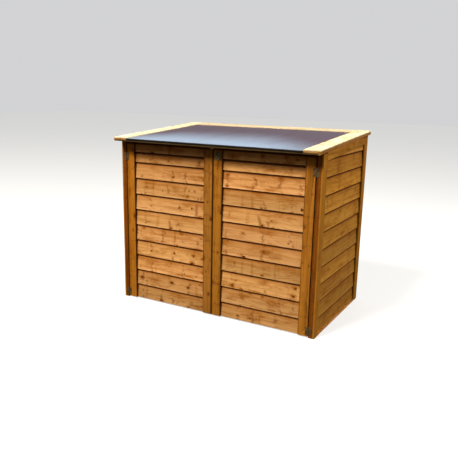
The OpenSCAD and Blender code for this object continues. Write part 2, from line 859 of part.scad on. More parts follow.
module bolt_rod() {
    color(zinc) at_front() translate([rod_x, rod_y, 0]) {
        translate([0, 0, rod_top - rod_l]) cylinder(r = rod_r, h = rod_l, $fn = 48);
        translate([0, rod_r - 1, knob_z]) rotate([-90, 0, 0]) cylinder(r = 2.5, h = 12, $fn = 48);
        translate([0, rod_r + 10, knob_z]) rotate([-90, 0, 0]) cylinder(r = 6, h = 6, $fn = 48);
    }
}

left_side_boards();
right_side_boards();
side_front_strips();
side_back_strips();
side_slope_rails();
side_foot_laths();
side_front_posts();
side_back_posts();
side_middle_battens();
back_boards();
back_strips();
back_top_rail();
back_battens();
floor_bearers();
floor_boards();
front_header();
left_door_boards();
left_door_hinge_stile();
left_door_meeting_stile();
left_door_inner_stiles();
left_door_ledges();
left_door_middle_batten();
right_door_boards();
right_door_hinge_stile();
right_door_meeting_stile();
right_door_inner_stiles();
right_door_ledges();
right_door_middle_batten();
lid_front_rail();
lid_back_rail();
lid_side_rails();
lid_bearers();
lid_deck();
lid_roofing_sheet();
lid_side_trims();
lid_back_trim();
lid_fascias();
door_hinge_frame_leaves();
door_hinge_pins();
left_door_hinge_leaves();
right_door_hinge_leaves();
lid_hinge_fixed_leaves();
lid_hinge_lid_leaves();
lid_hinge_pins();
cabinet_screws();
left_door_screws();
right_door_screws();
lid_screws();
hasp_leaf();
hasp_pin();
hasp_strap();
hasp_staple();
bolt_guide();
bolt_rod();
bolt_keep();
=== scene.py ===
import random
from functools import partial
from math import cos, radians, sin, tan

import bmesh
import bpy
from mathutils import Euler, Matrix, Vector, noise


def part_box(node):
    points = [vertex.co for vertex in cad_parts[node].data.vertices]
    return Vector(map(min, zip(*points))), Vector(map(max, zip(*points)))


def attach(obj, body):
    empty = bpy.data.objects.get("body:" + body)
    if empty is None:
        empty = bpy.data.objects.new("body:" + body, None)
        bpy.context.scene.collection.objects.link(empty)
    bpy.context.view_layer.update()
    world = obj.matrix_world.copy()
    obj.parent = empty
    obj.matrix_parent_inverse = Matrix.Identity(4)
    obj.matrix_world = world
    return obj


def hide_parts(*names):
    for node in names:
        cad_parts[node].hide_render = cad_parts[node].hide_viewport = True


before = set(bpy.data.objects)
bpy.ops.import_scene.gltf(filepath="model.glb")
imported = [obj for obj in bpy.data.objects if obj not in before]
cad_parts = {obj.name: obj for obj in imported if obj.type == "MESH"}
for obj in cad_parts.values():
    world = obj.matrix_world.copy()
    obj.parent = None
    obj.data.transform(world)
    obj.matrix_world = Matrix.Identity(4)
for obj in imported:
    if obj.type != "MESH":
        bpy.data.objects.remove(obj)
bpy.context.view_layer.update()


# Camera: at standing height off the right-hand front corner, with the lens a little above the lid,
# so that the front, the right side and a thin slice of the lid show.
def in_scene(name, data):
    """A new object for the data, linked to the scene."""
    made = bpy.data.objects.new(name, data)
    bpy.context.scene.collection.objects.link(made)
    return made


doors_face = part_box("left_door_meeting_stile")[0].y
heading, tilt, roll = radians(29.142), radians(76.635), radians(1.15)
camera_data = bpy.data.cameras.new("camera")
camera_data.sensor_width = 36
camera_data.lens = 44.64
camera = in_scene("camera", camera_data)
camera.location = (1.883, doors_face - 3.1475, 1.484)
camera.rotation_mode = "QUATERNION"
camera.rotation_quaternion = (Euler((0, 0, heading)).to_quaternion()
                              @ Euler((tilt, 0, 0)).to_quaternion()
                              @ Euler((0, 0, roll)).to_quaternion())
bpy.context.scene.camera = camera
bpy.context.scene.view_settings.view_transform = "Standard"


# Studio: a plain pale floor and sky, both brighter to the camera than in the light they throw back.
# One broad lamp stands high in front on the left, one hangs over the lid, a weaker one stands on
# the right, and a low soft sun from the back left fills what the others leave dark.
def feed(tree, socket, value):
    """Gives a socket a plain value, or links another node's output to it."""
    if isinstance(value, bpy.types.NodeSocket):
        tree.links.new(value, socket)
    elif value is not None:
        socket.default_value = (*value, 1) if socket.type == "RGBA" and len(value) == 3 else value


def node(tree, kind, inputs=None, **settings):
    """A new node with its settings, and its sockets fed by name or number."""
    made = tree.nodes.new(kind)
    for key, value in settings.items():
        setattr(made, key, value)
    for socket, value in (inputs or {}).items():
        feed(tree, made.inputs[socket], value)
    return made


def math_node(tree, operation, a, b=None, c=None, clamp=False):
    """One sum on plain values or other nodes' outputs, and its result."""
    return node(tree, "ShaderNodeMath", {0: a, 1: b, 2: c}, operation=operation,
                use_clamp=clamp).outputs[0]


def mix_colour(tree, factor, a, b, blend="MIX"):
    """Colour a where the factor is 0, and b, or the two blended, where it is 1."""
    return node(tree, "ShaderNodeMix", {0: factor, 6: a, 7: b}, data_type="RGBA",
                blend_type=blend).outputs[2]


def new_material(name):
    """A node-based material, with its tree and its Principled shader."""
    material = bpy.data.materials.new(name)
    material.use_nodes = True
    return material, material.node_tree, material.node_tree.nodes["Principled BSDF"]


def plain_floor():
    half, lit_tone, seen_tone, seen_glow = 30, (0.10, 0.10, 0.10), (0.42, 0.42, 0.41), 0.56
    mesh = bpy.data.meshes.new("floor")
    mesh.from_pydata([(-half, -half, 0), (half, -half, 0), (half, half, 0), (-half, half, 0)], [],
                     [(0, 1, 2, 3)])
    material, tree, shader = new_material("pale_floor")
    shader.inputs["Roughness"].default_value = 0.9
    shader.inputs["Specular IOR Level"].default_value = 0.0
    shader.inputs["Emission Color"].default_value = (1, 1, 0.99, 1)
    to_camera = node(tree, "ShaderNodeLightPath").outputs["Is Camera Ray"]
    feed(tree, shader.inputs["Base Color"], mix_colour(tree, to_camera, lit_tone, seen_tone))
    feed(tree, shader.inputs["Emission Strength"],
         math_node(tree, "MULTIPLY", to_camera, seen_glow))
    mesh.materials.append(material)
    in_scene("floor", mesh)


def pale_sky():
    light, seen_light = 0.22, 0.66
    world = bpy.data.worlds.new("pale_sky")
    world.use_nodes = True
    tree = world.node_tree
    sky = tree.nodes["Background"]
    sky.inputs["Color"].default_value = (0.98, 0.98, 1, 1)
    to_camera = node(tree, "ShaderNodeLightPath").outputs["Is Camera Ray"]
    strength = node(tree, "ShaderNodeMapRange",
                    {"Value": to_camera, "To Min": light, "To Max": seen_light})
    feed(tree, sky.inputs["Strength"], strength.outputs["Result"])
    bpy.context.scene.world = world


def shine_along(lamp, direction):
    """Turns a lamp so that its light goes in one direction."""
    lamp.rotation_mode = "QUATERNION"
    lamp.rotation_quaternion = Vector(direction).to_track_quat("-Z", "Y")


def broad_lamp(name, size, watts, place, aim, colour):
    data = bpy.data.lights.new(name, "AREA")
    data.shape = "DISK"
    data.size = size
    data.energy = watts
    data.color = colour
    lamp = in_scene(name, data)
    lamp.location = place
    shine_along(lamp, Vector(aim) - Vector(place))


def low_sun(name, strength, width, direction, colour):
    data = bpy.data.lights.new(name, "SUN")
    data.energy = strength
    data.angle = width
    data.color = colour
    shine_along(in_scene(name, data), direction)


plain_floor()
pale_sky()
broad_lamp("front_light", size=3.2, watts=1960, place=(-2.4, -6.8, 9.0), aim=(0, 0, 0.5),
           colour=(1, 0.95, 0.86))
broad_lamp("top_light", size=2.0, watts=50, place=(0.9, 1.6, 4.4), aim=(0, 0, 1.0),
           colour=(1, 0.98, 0.95))
broad_lamp("side_light", size=2.4, watts=395, place=(6.3, 0.4, 4.9), aim=(0.6, 0, 0.5),
           colour=(1, 0.97, 0.93))
low_sun("rear_fill", strength=1.3, width=radians(12), direction=(3.6, -3.8, -0.1),
        colour=(1, 0.97, 0.93))


# Cladding: lapped spruce boards under an orange preservative, each nailed over the head of the one
# below, so every board leans in at its top. The lowest on the doors is cut narrower to clear the
# ground, the two topmost are what was left over, and the sides' last board follows the lid's slope.
board_courses = 11
board_pitch = 0.112
board_lap = 0.013
board_thickness = 0.007
board_play = 0.0002
board_arris = 0.0012
door_top_course = 0.061
lid_slope = radians(3.8)


def vector_node(tree, operation, a, b=None, c=None):
    return node(tree, "ShaderNodeVectorMath", {0: a, 1: b, 2: c}, operation=operation).outputs[0]


def joined(tree, x=None, y=None, z=None):
    """A vector from its three parts."""
    return node(tree, "ShaderNodeCombineXYZ", {0: x, 1: y, 2: z}).outputs[0]


def axes_of(tree, vector):
    """A vector's three parts."""
    return node(tree, "ShaderNodeSeparateXYZ", {0: vector}).outputs


def new_group(kind, name, inputs, outputs):
    """A node group with its named sockets, and its input and output nodes."""
    tree = bpy.data.node_groups.new(name, kind)
    for socket, label, value in inputs:
        made = tree.interface.new_socket(label, in_out="INPUT", socket_type="NodeSocket" + socket)
        if value is not None:
            made.default_value = value
    for socket, label in outputs:
        tree.interface.new_socket(label, in_out="OUTPUT", socket_type="NodeSocket" + socket)
    return tree, node(tree, "NodeGroupInput").outputs, node(tree, "NodeGroupOutput").inputs


def lapped_boards_tree():
    """A panel of lapped boards. X runs along them, -Y is outwards, and Z is up from the ground."""
    tree, size, result = new_group(
        "GeometryNodeTree", "lapped_boards",
        [("Float", "Length", 1.0), ("Int", "Courses", board_courses),
         ("Float", "Pitch", board_pitch), ("Float", "Lap", board_lap),
         ("Float", "Thickness", board_thickness), ("Float", "Play", board_play),
         ("Float", "First foot", 0.0), ("Float", "Top course", 0.0), ("Float", "Left top", 1.1),
         ("Float", "Right top", 1.1), ("Material", "Finish", None)],
        [("Geometry", "Boards")])
    maths = partial(math_node, tree)
    add, subtract, multiply, divide = (
        partial(maths, operation) for operation in ("ADD", "SUBTRACT", "MULTIPLY", "DIVIDE"))
    same_course, past_the_cut = 0.1, 10.0

    def chosen(test, when_true, when_false):
        return add(multiply(test, when_true), multiply(subtract(1.0, test), when_false))

    def stored(name, kind):
        return node(tree, "GeometryNodeInputNamedAttribute", {"Name": name},
                    data_type=kind).outputs["Attribute"]

    # One unit cube for each course, which remembers its corners and its course's number
    plank = node(tree, "GeometryNodeMeshCube", {"Size": (1, 1, 1)})
    corner = vector_node(tree, "ADD", node(tree, "GeometryNodeInputPosition").outputs[0],
                         (0.5, 0.5, 0.5))
    marked = node(tree, "GeometryNodeStoreNamedAttribute",
                  {"Geometry": plank.outputs["Mesh"], "Name": "corner", "Value": corner},
                  data_type="FLOAT_VECTOR", domain="POINT")
    stack = node(tree, "GeometryNodeMeshLine", {"Count": size["Courses"], "Offset": (0, 0, 0)})
    planks = node(tree, "GeometryNodeInstanceOnPoints",
                  {"Points": stack.outputs["Mesh"], "Instance": marked.outputs["Geometry"]})
    numbered = node(tree, "GeometryNodeStoreNamedAttribute",
                    {"Geometry": planks.outputs["Instances"], "Name": "course",
                     "Value": node(tree, "GeometryNodeInputIndex").outputs[0]},
                    data_type="FLOAT", domain="INSTANCE")
    real = node(tree, "GeometryNodeRealizeInstances", {"Geometry": numbered.outputs["Geometry"]})
    course = stored("course", "FLOAT")
    along, inward, upward = axes_of(tree, stored("corner", "FLOAT_VECTOR"))
    outward = subtract(1.0, inward)

    # Where each board's foot stands: the pitch repeats, but for the first and the leftover ones
    last = subtract(size["Courses"], 1.0)
    leftover = maths("GREATER_THAN", size["Top course"], 0.0)
    top_foot = subtract(size["Left top"], size["Top course"])

    def foot_of(number):
        regular = maths("MAXIMUM", multiply(number, size["Pitch"]), size["First foot"])
        is_top = multiply(maths("COMPARE", number, last, same_course), leftover)
        return chosen(is_top, top_foot, regular)

    foot = foot_of(course)
    is_last = maths("COMPARE", course, last, same_course)
    rise = chosen(is_last, size["Pitch"], subtract(foot_of(add(course, 1.0)), foot))

    # How far each board leans, and how far the two leftover ones are pushed out by the short rise
    rake = add(size["Thickness"], size["Play"])
    lean = maths("ARCSINE", divide(rake, rise))
    sine, cosine = maths("SINE", lean), maths("COSINE", lean)
    usual_lean = maths("ARCSINE", divide(rake, size["Pitch"]))
    seat = multiply(add(size["Pitch"], size["Lap"]), maths("SINE", usual_lean))
    short_rise = subtract(top_foot, multiply(subtract(last, 1.0), size["Pitch"]))
    short_lean = maths("ARCSINE", divide(rake, short_rise))
    pushed = multiply(subtract(maths("TANGENT", short_lean), maths("TANGENT", usual_lean)),
                      size["Lap"])
    is_pushed = multiply(maths("GREATER_THAN", course, subtract(last, 1.5)), leftover)
    seat = add(seat, multiply(maths("MAXIMUM", pushed, 0.0), is_pushed))

    # A point of the board: up its face, then out through its thickness, and cut off at the top
    thick = multiply(outward, size["Thickness"])
    cut = add(size["Left top"], multiply(along, subtract(size["Right top"], size["Left top"])))
    width = chosen(is_last, past_the_cut, add(rise, size["Lap"]))
    to_cut = divide(subtract(subtract(cut, foot), multiply(thick, sine)), cosine)
    at_head = maths("GREATER_THAN", upward, 0.5)
    up = maths("MINIMUM", multiply(upward, width), multiply(at_head, to_cut))
    height = add(add(foot, multiply(up, cosine)), multiply(thick, sine))
    depth = subtract(subtract(multiply(up, sine), seat), multiply(thick, cosine))
    point = joined(tree, multiply(along, size["Length"]), depth, height)
    laid = node(tree, "GeometryNodeSetPosition",
                {"Geometry": real.outputs["Geometry"], "Position": point})
    finish = node(tree, "GeometryNodeSetMaterial",
                  {"Geometry": laid.outputs["Geometry"], "Material": size["Finish"]})
    feed(tree, result["Boards"], finish.outputs["Geometry"])
    return tree


def made_by(tree, name, **sizes):
    """The plain mesh that a Geometry Nodes tree makes from the given sizes."""
    holder = in_scene(name, bpy.data.meshes.new(name))
    modifier = holder.modifiers.new(name, "NODES")
    modifier.node_group = tree
    for item in tree.interface.items_tree:
        if item.in_out == "INPUT" and item.name.replace(" ", "_") in sizes:
            modifier[item.identifier] = sizes[item.name.replace(" ", "_")]
    evaluated = holder.evaluated_get(bpy.context.evaluated_depsgraph_get())
    mesh = bpy.data.meshes.new_from_object(evaluated)
    holder.modifiers.remove(modifier)
    bpy.data.objects.remove(holder)
    return mesh


def plain_mesh(name, mesh):
    """The mesh of an edited one, with no material yet."""
    data = bpy.data.meshes.new(name)
    mesh.to_mesh(data)
    mesh.free()
    data.materials.clear()
    return data


def arrises_off(mesh, width):
    """Takes the sharp edges off sawn timber."""
    shortest, sharp = 0.006, radians(30)
    edges = [e for e in mesh.edges if e.calc_length() > shortest
             and len(e.link_faces) == 2 and e.calc_face_angle(0) > sharp]
    bmesh.ops.bevel(mesh, geom=edges, offset=width, segments=2, affect="EDGES", profile=0.6,
                    clamp_overlap=True)


def solids_of(mesh):
    """The mesh's separate solids, as lists of its vertices."""
    left = set(mesh.verts)
    while left:
        first = next(iter(left))
        found, open_ends = {first}, [first]
        while open_ends:
            for edge in open_ends.pop().link_edges:
                for vertex in edge.verts:
                    if vertex not in found:
                        found.add(vertex)
                        open_ends.append(vertex)
        left -= found
        yield sorted(found, key=lambda v: v.index)


def timbered(name, mesh, material, along=None, shut=(), outward=None):
    """Makes a piece of a mesh of boards. Each board gets grain coordinates, in metres along, across
    and through it, a tone of its own, its width, and two heights: up to the foot of the next course
    or to its own top, and up to the top of the piece; the material paints shade and a highlight
    from these heights. Faces in the shut planes, given as (axis, place), take a near-black finish
    that is painted shade, for the gaps and the tops under the lid, and the backs of lapped boards,
    which look away from outward, the paler finish of the inside."""
    head_cover, in_plane, faces_plane, faces_inside = 0.004, 0.002, 0.6, -0.5
    grain = mesh.verts.layers.float_vector.new("grain")
    tone, lap, width, below_top = (mesh.verts.layers.float.new(label) for label in
                                   ("tone", "lap", "width", "below_top"))
    mesh.verts.index_update()
    boards = sorted(solids_of(mesh), key=lambda vs: tuple(
        round(sum(v.co[k] for v in vs) / len(vs), 3) for k in (2, 0, 1)))
    feet = [min(v.co.z for v in board) for board in boards]
    top = max(v.co.z for v in mesh.verts)
    shade = random.Random(name)
    for number, board in enumerate(boards):
        low = [min(v.co[k] for v in board) for k in range(3)]
        high = [max(v.co[k] for v in board) for k in range(3)]
        sides = sorted(range(3), key=lambda k: low[k] - high[k])
        if along is not None:
            sides = [along] + [k for k in sides if k != along]
        own_tone = shade.random()
        overlapped = outward and number + 1 < len(feet)
        covered = feet[number + 1] if overlapped else high[2] + head_cover
        for v in board:
            v[grain] = [v.co[k] - low[k] for k in sides]
            v[tone] = own_tone
            v[lap] = covered - v.co.z
            v[width] = high[sides[1]] - low[sides[1]]
            v[below_top] = top - v.co.z
    data = plain_mesh(name, mesh)
    for finish in (material, shut_edge, board_backs):
        data.materials.append(finish)
    for face in data.polygons:
        if any(abs(face.normal[k]) > faces_plane and abs(face.center[k] - at) < in_plane
               for k, at in shut):
            face.material_index = 1
        elif outward and face.normal.dot(outward) < faces_inside:
            face.material_index = 2
    data.shade_smooth()
    data.set_sharp_from_angle(angle=radians(35))
    return in_scene(name, data)


def span(tree, value, low, high, to_low=0.0, to_high=1.0):
    """A smooth step from to_low to to_high as the value goes from low to high."""
    return node(tree, "ShaderNodeMapRange",
                {"Value": value, "From Min": low, "From Max": high, "To Min": to_low,
                 "To Max": to_high}, interpolation_type="SMOOTHSTEP").outputs["Result"]


def noise_at(tree, vector, detail, roughness=0.55):
    """Soft noise with patches about one unit of the vector across."""
    return node(tree, "ShaderNodeTexNoise",
                {"Vector": vector, "Scale": 1, "Detail": detail, "Roughness": roughness},
                noise_dimensions="3D").outputs["Fac"]


def raised(tree, shader, height, strength, distance):
    """Gives a surface its fine relief."""
    bump = node(tree, "ShaderNodeBump",
                {"Height": height, "Strength": strength, "Distance": distance})
    feed(tree, shader.inputs["Normal"], bump.outputs["Normal"])


def softwood_group():
    """The timber's look, shared by every board: growth rings that wander, fine grain lines,
    broken whorls, round knots with stained halos, blotches where the wood drank more, and over
    them painted shade, painted shadow lines and a painted highlight, from heights each board
    stores."""
    # Colours of the whorls, the painted lap shadow, the edge darkening (grime and painted shade),
    # and the tints of the painted foot highlight and of the painted shade under the lid.
    whorl_brown, painted_lap_shadow = (0.17, 0.052, 0.010), (0.085, 0.020, 0.003)
    rim_dark, highlight_lift, top_shade_tint = (0.030, 0.010, 0.002), (1.24, 1.28, 1.42), (0.62, 0.54, 0.44)
    tree, given, result = new_group(
        "ShaderNodeTree", "softwood",
        [("Vector", "Grain", (0, 0, 0)), ("Float", "Tone", 0.5),
         ("Color", "Light", (0.7, 0.4, 0.16, 1)), ("Color", "Deep", (0.4, 0.17, 0.04, 1)),
         ("Color", "Knot", (0.055, 0.014, 0.004, 1)), ("Float", "Knots", 0.5),
         ("Float", "Lap", 1.0), ("Float", "Spread", 1.0), ("Float", "Foot highlight", 0.0),
         ("Float", "Width", 1.0), ("Float", "Grime and rim shade", 0.0), ("Float", "Below top", 1.0),
         ("Float", "Sheltered", 0.0)],
        [("Color", "Color"), ("Float", "Roughness"), ("Float", "Height")])
    maths, ramp = partial(math_node, tree), partial(span, tree)
    multiply, subtract = partial(maths, "MULTIPLY"), partial(maths, "SUBTRACT")
    scaled_plus = partial(maths, "MULTIPLY_ADD")
    mix, cloud = partial(mix_colour, tree), partial(noise_at, tree)
    grain, tone = given["Grain"], given["Tone"]
    along, across, _ = axes_of(tree, grain)

    # A board's tone is random. Multiplied by an odd number, it also stands for its other chances
    own_place = joined(tree, *(multiply(tone, turns) for turns in (91.7, 53.3, 37.1)))

    def drawn_out(scale):
        """The board's own coordinates, at so many patches a metre along, across and through it."""
        return vector_node(tree, "MULTIPLY_ADD", grain, scale, own_place)

    def channels(texture):
        return node(tree, "ShaderNodeSeparateColor", {0: texture.outputs["Color"]}).outputs

    # Branch whorls: broken brown streaks that run across the board
    whorls_per_metre, wander, whorl_strength = 6.5, 0.055, 0.62
    wandered = scaled_plus(cloud(drawn_out((9, 26, 0)), 2), wander, along)
    whorls = node(tree, "ShaderNodeTexVoronoi",
                  {"Scale": whorls_per_metre, "W": maths("ADD", multiply(tone, 31.7), wandered)},
                  voronoi_dimensions="1D")
    grown = maths("LESS_THAN", channels(whorls)[0], given["Knots"])
    broken = ramp(cloud(drawn_out((30, 34, 0)), 3), 0.46, 0.60)
    whorl = multiply(multiply(ramp(whorls.outputs["Distance"], 0.13, 0.01), broken), grown)

    # Knots: one chance in each cell of a grid over the board's face, a better one within a whorl
    cells_along, cells_across, smallest_knot, more_size = 11, 17, 0.028, 0.10
    stray_chance, more_in_whorl, knot_strength = 0.16, 0.72, 0.95
    wobble = cloud(drawn_out((60, 60, 20)), 2)
    wobbled = vector_node(tree, "MULTIPLY_ADD", wobble, (0.17, 0.22, 0),
                          drawn_out((cells_along, cells_across, 0)))
    cells = node(tree, "ShaderNodeTexVoronoi", {"Scale": 1, "Randomness": 0.9, "Vector": wobbled},
                 voronoi_dimensions="2D")
    lot, growth, _ = channels(cells)
    near_whorl = multiply(ramp(whorls.outputs["Distance"], 0.30, 0.16), grown)
    chance = multiply(scaled_plus(near_whorl, more_in_whorl, stray_chance), given["Knots"])
    chosen = ramp(subtract(chance, lot), 0.0, 0.06)
    size = scaled_plus(maths("POWER", growth, 2.0), more_size, smallest_knot)
    ratio = maths("DIVIDE", cells.outputs["Distance"], size)
    core = multiply(ramp(ratio, 1.25, 0.7), chosen)
    halo = multiply(ramp(ratio, 4.2, 0.8), chosen)

    # Growth rings: bands across the board, drawn out along it and bent round the knots
    rings_per_metre, ring_wander, knot_bend, late_growth = 60, 16, 3, 2.2
    bend = cloud(drawn_out((1.6, 9, 9)), 2)
    ring_count = scaled_plus(bend, ring_wander, scaled_plus(
        across, rings_per_metre, multiply(halo, knot_bend)))
    rings = maths("POWER", maths("FRACT", ring_count), late_growth)
    lines = cloud(drawn_out((5, 420, 420)), 3, 0.6)
    streaks = cloud(drawn_out((2.2, 46, 46)), 3, 0.6)
    blotch = cloud(drawn_out((6.5, 13, 13)), 4, 0.6)
    bands = cloud(drawn_out((26, 3, 3)), 2, 0.5)

    # How deep the colour is: each pattern adds its share, and the whorls and knots lie over it
    ring_share, halo_share = 0.34, 0.7
    depth = multiply(rings, ring_share)
    for pattern, low, high, share in ((lines, 0.45, 0.75, 0.2), (streaks, 0.42, 0.72, 0.5),
                                      (blotch, 0.50, 0.70, 0.48), (bands, 0.6, 0.75, 0.3)):
        depth = maths("ADD", depth, ramp(pattern, low, high, 0, share))
    depth = maths("ADD", depth, multiply(halo, halo_share), clamp=True)
    colour = mix(depth, given["Light"], given["Deep"])
    colour = mix(multiply(whorl, whorl_strength), colour, whorl_brown)
    colour = mix(multiply(core, knot_strength), colour, given["Knot"])

    # Each board's own brightness, and a trace of its own hue
    usual, brightness_range = 0.55, 0.34
    varied = multiply(subtract(maths("FRACT", multiply(tone, 7.3)), usual), given["Spread"])
    tint = node(tree, "ShaderNodeHueSaturation", {
        "Color": colour, "Value": scaled_plus(varied, brightness_range, 1.0),
        "Hue": ramp(tone, 0, 1, 0.497, 0.502),
        "Saturation": ramp(maths("FRACT", multiply(tone, 3.7)), 0, 1, 1.01, 0.99)})

    # Painted light, with lengths in metres: painted shade and a near-black painted shadow line
    # under the foot of the next board up, a painted highlight along each foot, painted shade where
    # the lid overhangs a panel's top, and darkening along both edges, partly grime and partly
    # painted shade.
    def weathered(amount, colour, change):
        return mix(amount, colour, mix(1.0, colour, change, "MULTIPLY"))

    ragged = scaled_plus(lines, 0.004, given["Lap"])
    # Painted shade over the upper part of each board, up to the foot of the next board.
    lap_shade = scaled_plus(subtract(blotch, 0.5), -0.10, ragged)
    colour = mix(ramp(lap_shade, 0.072, 0.010, 0, 0.55), tint.outputs["Color"], given["Deep"])
    # A painted highlight along each board's foot.
    highlight_band = ramp(scaled_plus(blotch, 0.03, across), 0.055, 0.014)
    colour = weathered(multiply(highlight_band, given["Foot highlight"]), colour, highlight_lift)
    # A near-black painted shadow line just under the next board's foot, or under the lid.
    colour = mix(ramp(ragged, 0.0195, 0.0110, 0, 0.97), colour, painted_lap_shadow)
    # Painted shade near the top of a panel, under the lid's overhang.
    under_lid_shade = ramp(scaled_plus(blotch, 0.05, given["Below top"]), 0.26, 0.05)
    colour = weathered(multiply(under_lid_shade, given["Sheltered"]), colour, top_shade_tint)
    # Darker long edges: partly grime, partly painted shade along the strips and in the gaps.
    inset = maths("MINIMUM", across, subtract(given["Width"], across))
    grime_and_rim_shade = ramp(scaled_plus(streaks, 0.0012, inset), 0.0100, 0.0008)
    colour = mix(multiply(grime_and_rim_shade, given["Grime and rim shade"]), colour, rim_dark)

    feed(tree, result["Color"], colour)
    feed(tree, result["Roughness"], ramp(blotch, 0.3, 0.8, 0.46, 0.66))
    feed(tree, result["Height"], scaled_plus(lines, 0.6, scaled_plus(
        rings, 0.35, multiply(core, 0.8))))
    return tree


def timber_material(name, light, deep, knots=0.45, spread=1.0, lapped=False, foot_highlight=0.0, rims=0.0,
                    top_shade=0.0):
    """Softwood of a light and a deep colour. The other values, from 0 to 1, say how many knots,
    how much tone spread, painted foot highlight, edge darkening (grime and painted shade) and
    painted shade under the lid it shows; lapped timber also has the painted shadow at each board's
    head."""
    material, tree, shader = new_material(name)

    def stored(attribute, output="Fac"):
        return node(tree, "ShaderNodeAttribute", attribute_name=attribute).outputs[output]

    wood = node(tree, "ShaderNodeGroup", {
        "Grain": stored("grain", "Vector"), "Tone": stored("tone"), "Width": stored("width"),
        "Below top": stored("below_top"), "Lap": stored("lap") if lapped else None,
        "Light": light, "Deep": deep, "Knots": knots, "Spread": spread, "Foot highlight": foot_highlight,
        "Grime and rim shade": rims, "Sheltered": top_shade}, node_tree=softwood)
    shader.inputs["Specular IOR Level"].default_value = 0.05
    feed(tree, shader.inputs["Base Color"], wood.outputs["Color"])
    feed(tree, shader.inputs["Roughness"], wood.outputs["Roughness"])
    raised(tree, shader, wood.outputs["Height"], strength=0.35, distance=0.0006)
    return material


softwood = softwood_group()
lapped_boards = lapped_boards_tree()
# The door and back boards carry painted shadow under each lap, a painted highlight along each foot,
# and painted shade near the top, under the lid.
cladding = timber_material("cladding", (0.610, 0.310, 0.105), (0.300, 0.098, 0.012), 0.85,
                           lapped=True, foot_highlight=1.0, top_shade=0.95)
# The side walls take a darker copy of the cladding as painted shade, for the weaker light on them,
# with the same painted lap shadow and foot highlight.
side_cladding = timber_material("side_cladding", (0.43, 0.190, 0.026), (0.225, 0.073, 0.007), 0.25,
                                lapped=True, foot_highlight=1.0)
# A near-black copy of the wood: painted shade for the door gaps, the door tops under the lid and
# the posts' shut edges.
shut_edge = timber_material("shut_edge", (0.045, 0.017, 0.004), (0.020, 0.007, 0.001), 0.1,
                            spread=0.3)
board_backs = timber_material("board_backs", (0.50, 0.245, 0.080), (0.31, 0.12, 0.026), 0.8)


def clad(node_name, body, material, quarter_turns, top_course=0.0, shut=()):
    """Boards one panel. It is drawn from the front, and turned to face outwards."""
    low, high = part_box(node_name)
    inner_play = 0.00006
    length, start = {0: (high.x - low.x, (low.x, high.y - inner_play, 0)),
                     1: (high.y - low.y, (low.x + inner_play, low.y, 0)),
                     2: (high.x - low.x, (high.x, low.y + inner_play, 0)),
                     -1: (high.y - low.y, (high.x - inner_play, high.y, 0))}[quarter_turns]
    fall = length * tan(lid_slope)
    left_top = high.z - (fall if quarter_turns == 1 else 0)
    right_top = high.z - (fall if quarter_turns == -1 else 0)
    facing_out = Matrix.Rotation(radians(90) * quarter_turns, 4, "Z")
    data = made_by(lapped_boards, node_name + "_lapped", Length=length, Courses=board_courses,
                   Pitch=board_pitch, Lap=board_lap, Thickness=board_thickness, Play=board_play,
                   First_foot=low.z, Top_course=top_course, Left_top=left_top,
                   Right_top=right_top, Finish=material)
    data.transform(Matrix.Translation(start) @ facing_out)
    mesh = bmesh.new()
    mesh.from_mesh(data)
    arrises_off(mesh, board_arris)
    boards = timbered(node_name + "_lapped", mesh, material, shut=shut,
                      outward=facing_out @ Vector((0, -1, 0)))
    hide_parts(node_name)
    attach(boards, body)


# A door's two side edges and its top take the near-black painted shade.
door_shuts = {}
for side in ("left", "right"):
    low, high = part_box(f"{side}_door_boards")
    door_shuts[side] = ((0, low.x), (0, high.x), (2, high.z))
    clad(f"{side}_door_boards", f"{side}_door", cladding, 0, door_top_course, door_shuts[side])
clad("back_boards", "cabinet", cladding, 2)
clad("right_side_boards", "cabinet", side_cladding, 1)
clad("left_side_boards", "cabinet", side_cladding, -1)


# Door stiles: a straight planed strip nailed over the boards' ends at each edge of a door, and
# stained a deeper orange than they are. Their long edges are darker, partly grime and partly
# painted shade, and their tops carry painted shade under the lid.
def planed(node_name, material, body, arris=board_arris, along=None, shut=()):
    """A carpenter's strip, taken from the node's own solid and eased along its sharp edges."""
    mesh = bmesh.new()
    mesh.from_mesh(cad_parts[node_name].data)
    bmesh.ops.remove_doubles(mesh, verts=mesh.verts, dist=1e-6)
    bmesh.ops.dissolve_limit(mesh, angle_limit=radians(0.5), verts=mesh.verts, edges=mesh.edges)
    if arris:
        arrises_off(mesh, arris)
    piece = timbered(node_name + "_planed", mesh, material, along, shut)
    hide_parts(node_name)
    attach(piece, body)


stile_wood = timber_material("stile_wood", (0.350, 0.135, 0.017), (0.175, 0.052, 0.004), 0.9,
                             spread=0.3, lapped=True, rims=0.75, top_shade=0.5)
outer_stile_wood = timber_material("outer_stile_wood", (0.44, 0.160, 0.016), (0.225, 0.064, 0.004),
                                   0.8, spread=0.3, lapped=True, rims=0.75, top_shade=0.5)
for side in ("left", "right"):
    for place, finish in (("hinge_stile", outer_stile_wood), ("meeting_stile", stile_wood)):
        planed(f"{side}_door_{place}", finish, f"{side}_door", arris=0,
               shut=door_shuts[side])


# Inner frames: planed battens behind the boards, which the nails go into. Each door has two stiles,
# two ledges and a batten, the walls have posts and battens, and bearers carry the floor. No sun
# reaches them, so the stain has stayed pale and even.
inner_wood = timber_material("inner_wood", (0.52, 0.25, 0.075), (0.32, 0.12, 0.026), 0.35)
for side in ("left", "right"):
    for place in ("inner_stiles", "ledges", "middle_batten"):
        planed(f"{side}_door_{place}", inner_wood, f"{side}_door",
               shut=door_shuts[side])
for name in ("side_back_posts", "side_middle_battens", "back_battens", "floor_bearers"):
    planed(name, inner_wood, "cabinet")


